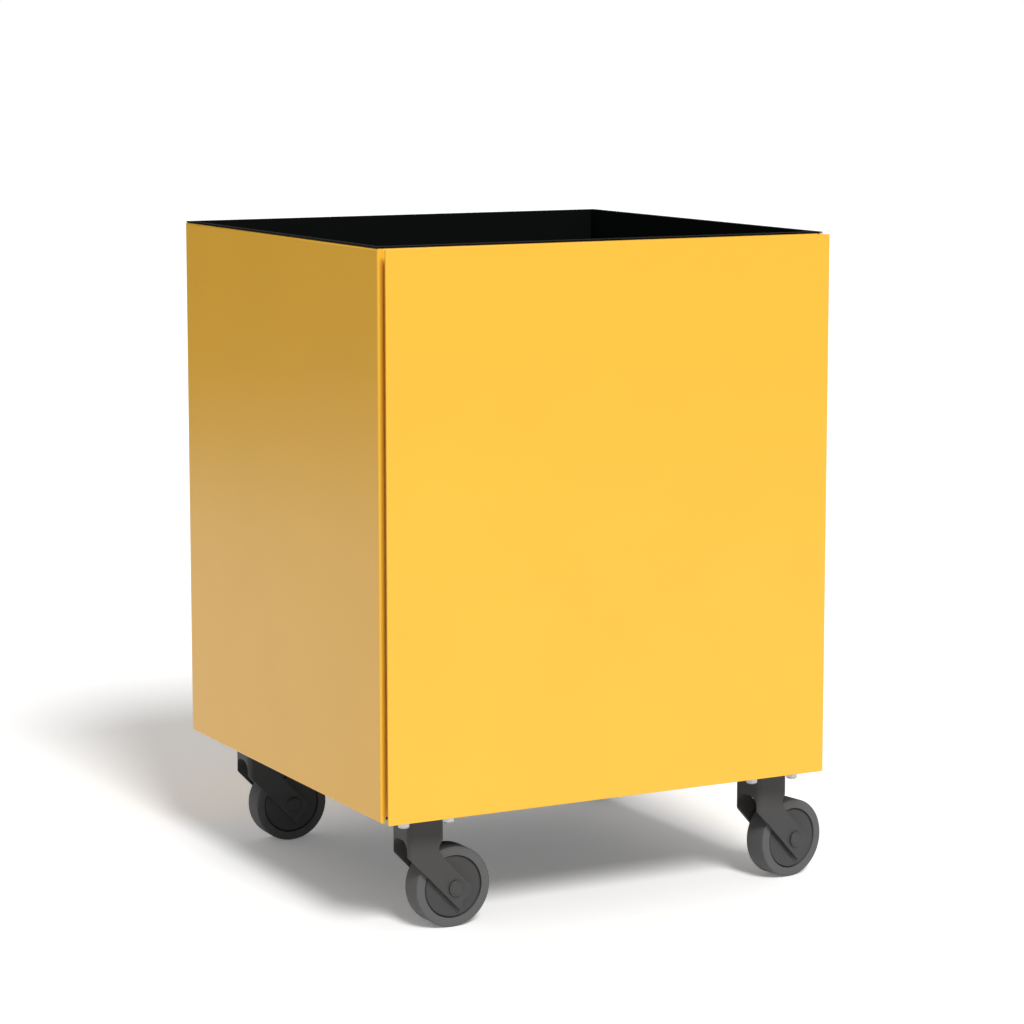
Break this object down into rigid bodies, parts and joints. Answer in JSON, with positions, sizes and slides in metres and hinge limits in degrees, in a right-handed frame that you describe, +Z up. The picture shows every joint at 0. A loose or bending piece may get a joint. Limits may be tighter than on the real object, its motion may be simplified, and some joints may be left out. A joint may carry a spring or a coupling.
{
  "type": "rolling planter",
  "caption": "Square planter box of folded sheet steel with a plate standing off its front and a lift-out liner, on swivel castors.",
  "frame": {"origin": "on the floor under the middle of the bounding box", "axes": "+Z up, the front plate faces -Y, +X to the right when facing the front plate from behind it"},
  "size_m": [0.4898, 0.448, 0.6215],
  "materials": {
    "coat": "powder coat, satin, warm yellow",
    "black": "black powder coat, satin",
    "zinc": "bright zinc plate",
    "nylon": "moulded dark grey nylon, fine texture",
    "disc": "moulded dark grey wheel centre, semi-matte",
    "tread": "lighter grey thermoplastic rubber, matte"
  },
  "bodies": {
    "body": {"left_side_panel": "coat", "right_side_panel": "coat", "back_panel": "coat", "inner_front_panel": "coat", "front_panel": "coat", "base_pan": "black", "front_spacer_lower_left": "zinc", "front_spacer_lower_right": "zinc", "front_spacer_upper_left": "zinc", "front_spacer_upper_right": "zinc", "front_stud_lower_left": "zinc", "front_stud_lower_right": "zinc", "front_stud_upper_left": "zinc", "front_stud_upper_right": "zinc", "castor_front_left_plate": "zinc", "castor_front_left_race": "nylon", "castor_front_left_kingpin": "zinc", "castor_front_left_bolt_1": "zinc", "castor_front_left_bolt_2": "zinc", "castor_front_left_bolt_3": "zinc", "castor_front_left_bolt_4": "zinc", "castor_front_right_plate": "zinc", "castor_front_right_race": "nylon", "castor_front_right_kingpin": "zinc", "castor_front_right_bolt_1": "zinc", "castor_front_right_bolt_2": "zinc", "castor_front_right_bolt_3": "zinc", "castor_front_right_bolt_4": "zinc", "castor_back_left_plate": "zinc", "castor_back_left_race": "nylon", "castor_back_left_kingpin": "zinc", "castor_back_left_bolt_1": "zinc", "castor_back_left_bolt_2": "zinc", "castor_back_left_bolt_3": "zinc", "castor_back_left_bolt_4": "zinc", "castor_back_right_plate": "zinc", "castor_back_right_race": "nylon", "castor_back_right_kingpin": "zinc", "castor_back_right_bolt_1": "zinc", "castor_back_right_bolt_2": "zinc", "castor_back_right_bolt_3": "zinc", "castor_back_right_bolt_4": "zinc"},
    "liner": {"liner": "black"},
    "front_left_fork": {"castor_front_left_fork": "nylon", "castor_front_left_axle": "nylon"},
    "front_left_wheel": {"castor_front_left_hub": "disc", "castor_front_left_tyre": "tread"},
    "front_right_fork": {"castor_front_right_fork": "nylon", "castor_front_right_axle": "nylon"},
    "front_right_wheel": {"castor_front_right_hub": "disc", "castor_front_right_tyre": "tread"},
    "back_left_fork": {"castor_back_left_fork": "nylon", "castor_back_left_axle": "nylon"},
    "back_left_wheel": {"castor_back_left_hub": "disc", "castor_back_left_tyre": "tread"},
    "back_right_fork": {"castor_back_right_fork": "nylon", "castor_back_right_axle": "nylon"},
    "back_right_wheel": {"castor_back_right_hub": "disc", "castor_back_right_tyre": "tread"}
  },
  "joints": [
    {"name": "liner_lift", "type": "slide", "parent": "body", "child": "liner", "axis": [0, 0, 1], "range_m": [0, 0.52]},
    {"name": "front_left_swivel", "type": "hinge", "parent": "body", "child": "front_left_fork", "pos_m": [-0.19188, -0.1735, 0.104], "axis": [0, 0, 1], "continuous": true},
    {"name": "front_left_roll", "type": "hinge", "parent": "front_left_fork", "child": "front_left_wheel", "pos_m": [-0.15938, -0.17293, 0.0375], "axis": [-0.0175, 0.9998, 0], "continuous": true},
    {"name": "front_right_swivel", "type": "hinge", "parent": "body", "child": "front_right_fork", "pos_m": [0.17412, -0.1735, 0.104], "axis": [0, 0, 1], "continuous": true},
    {"name": "front_right_roll", "type": "hinge", "parent": "front_right_fork", "child": "front_right_wheel", "pos_m": [0.20613, -0.16786, 0.0375], "axis": [-0.1736, 0.9848, 0], "continuous": true},
    {"name": "back_left_swivel", "type": "hinge", "parent": "body", "child": "back_left_fork", "pos_m": [-0.19188, 0.1855, 0.104], "axis": [0, 0, 1], "continuous": true},
    {"name": "back_left_roll", "type": "hinge", "parent": "back_left_fork", "child": "back_left_wheel", "pos_m": [-0.15938, 0.18493, 0.0375], "axis": [0.0175, 0.9998, 0], "continuous": true},
    {"name": "back_right_swivel", "type": "hinge", "parent": "body", "child": "back_right_fork", "pos_m": [0.17412, 0.1855, 0.104], "axis": [0, 0, 1], "continuous": true},
    {"name": "back_right_roll", "type": "hinge", "parent": "back_right_fork", "child": "back_right_wheel", "pos_m": [0.2065, 0.18833, 0.0375], "axis": [-0.0872, 0.9962, 0], "continuous": true}
  ]
}
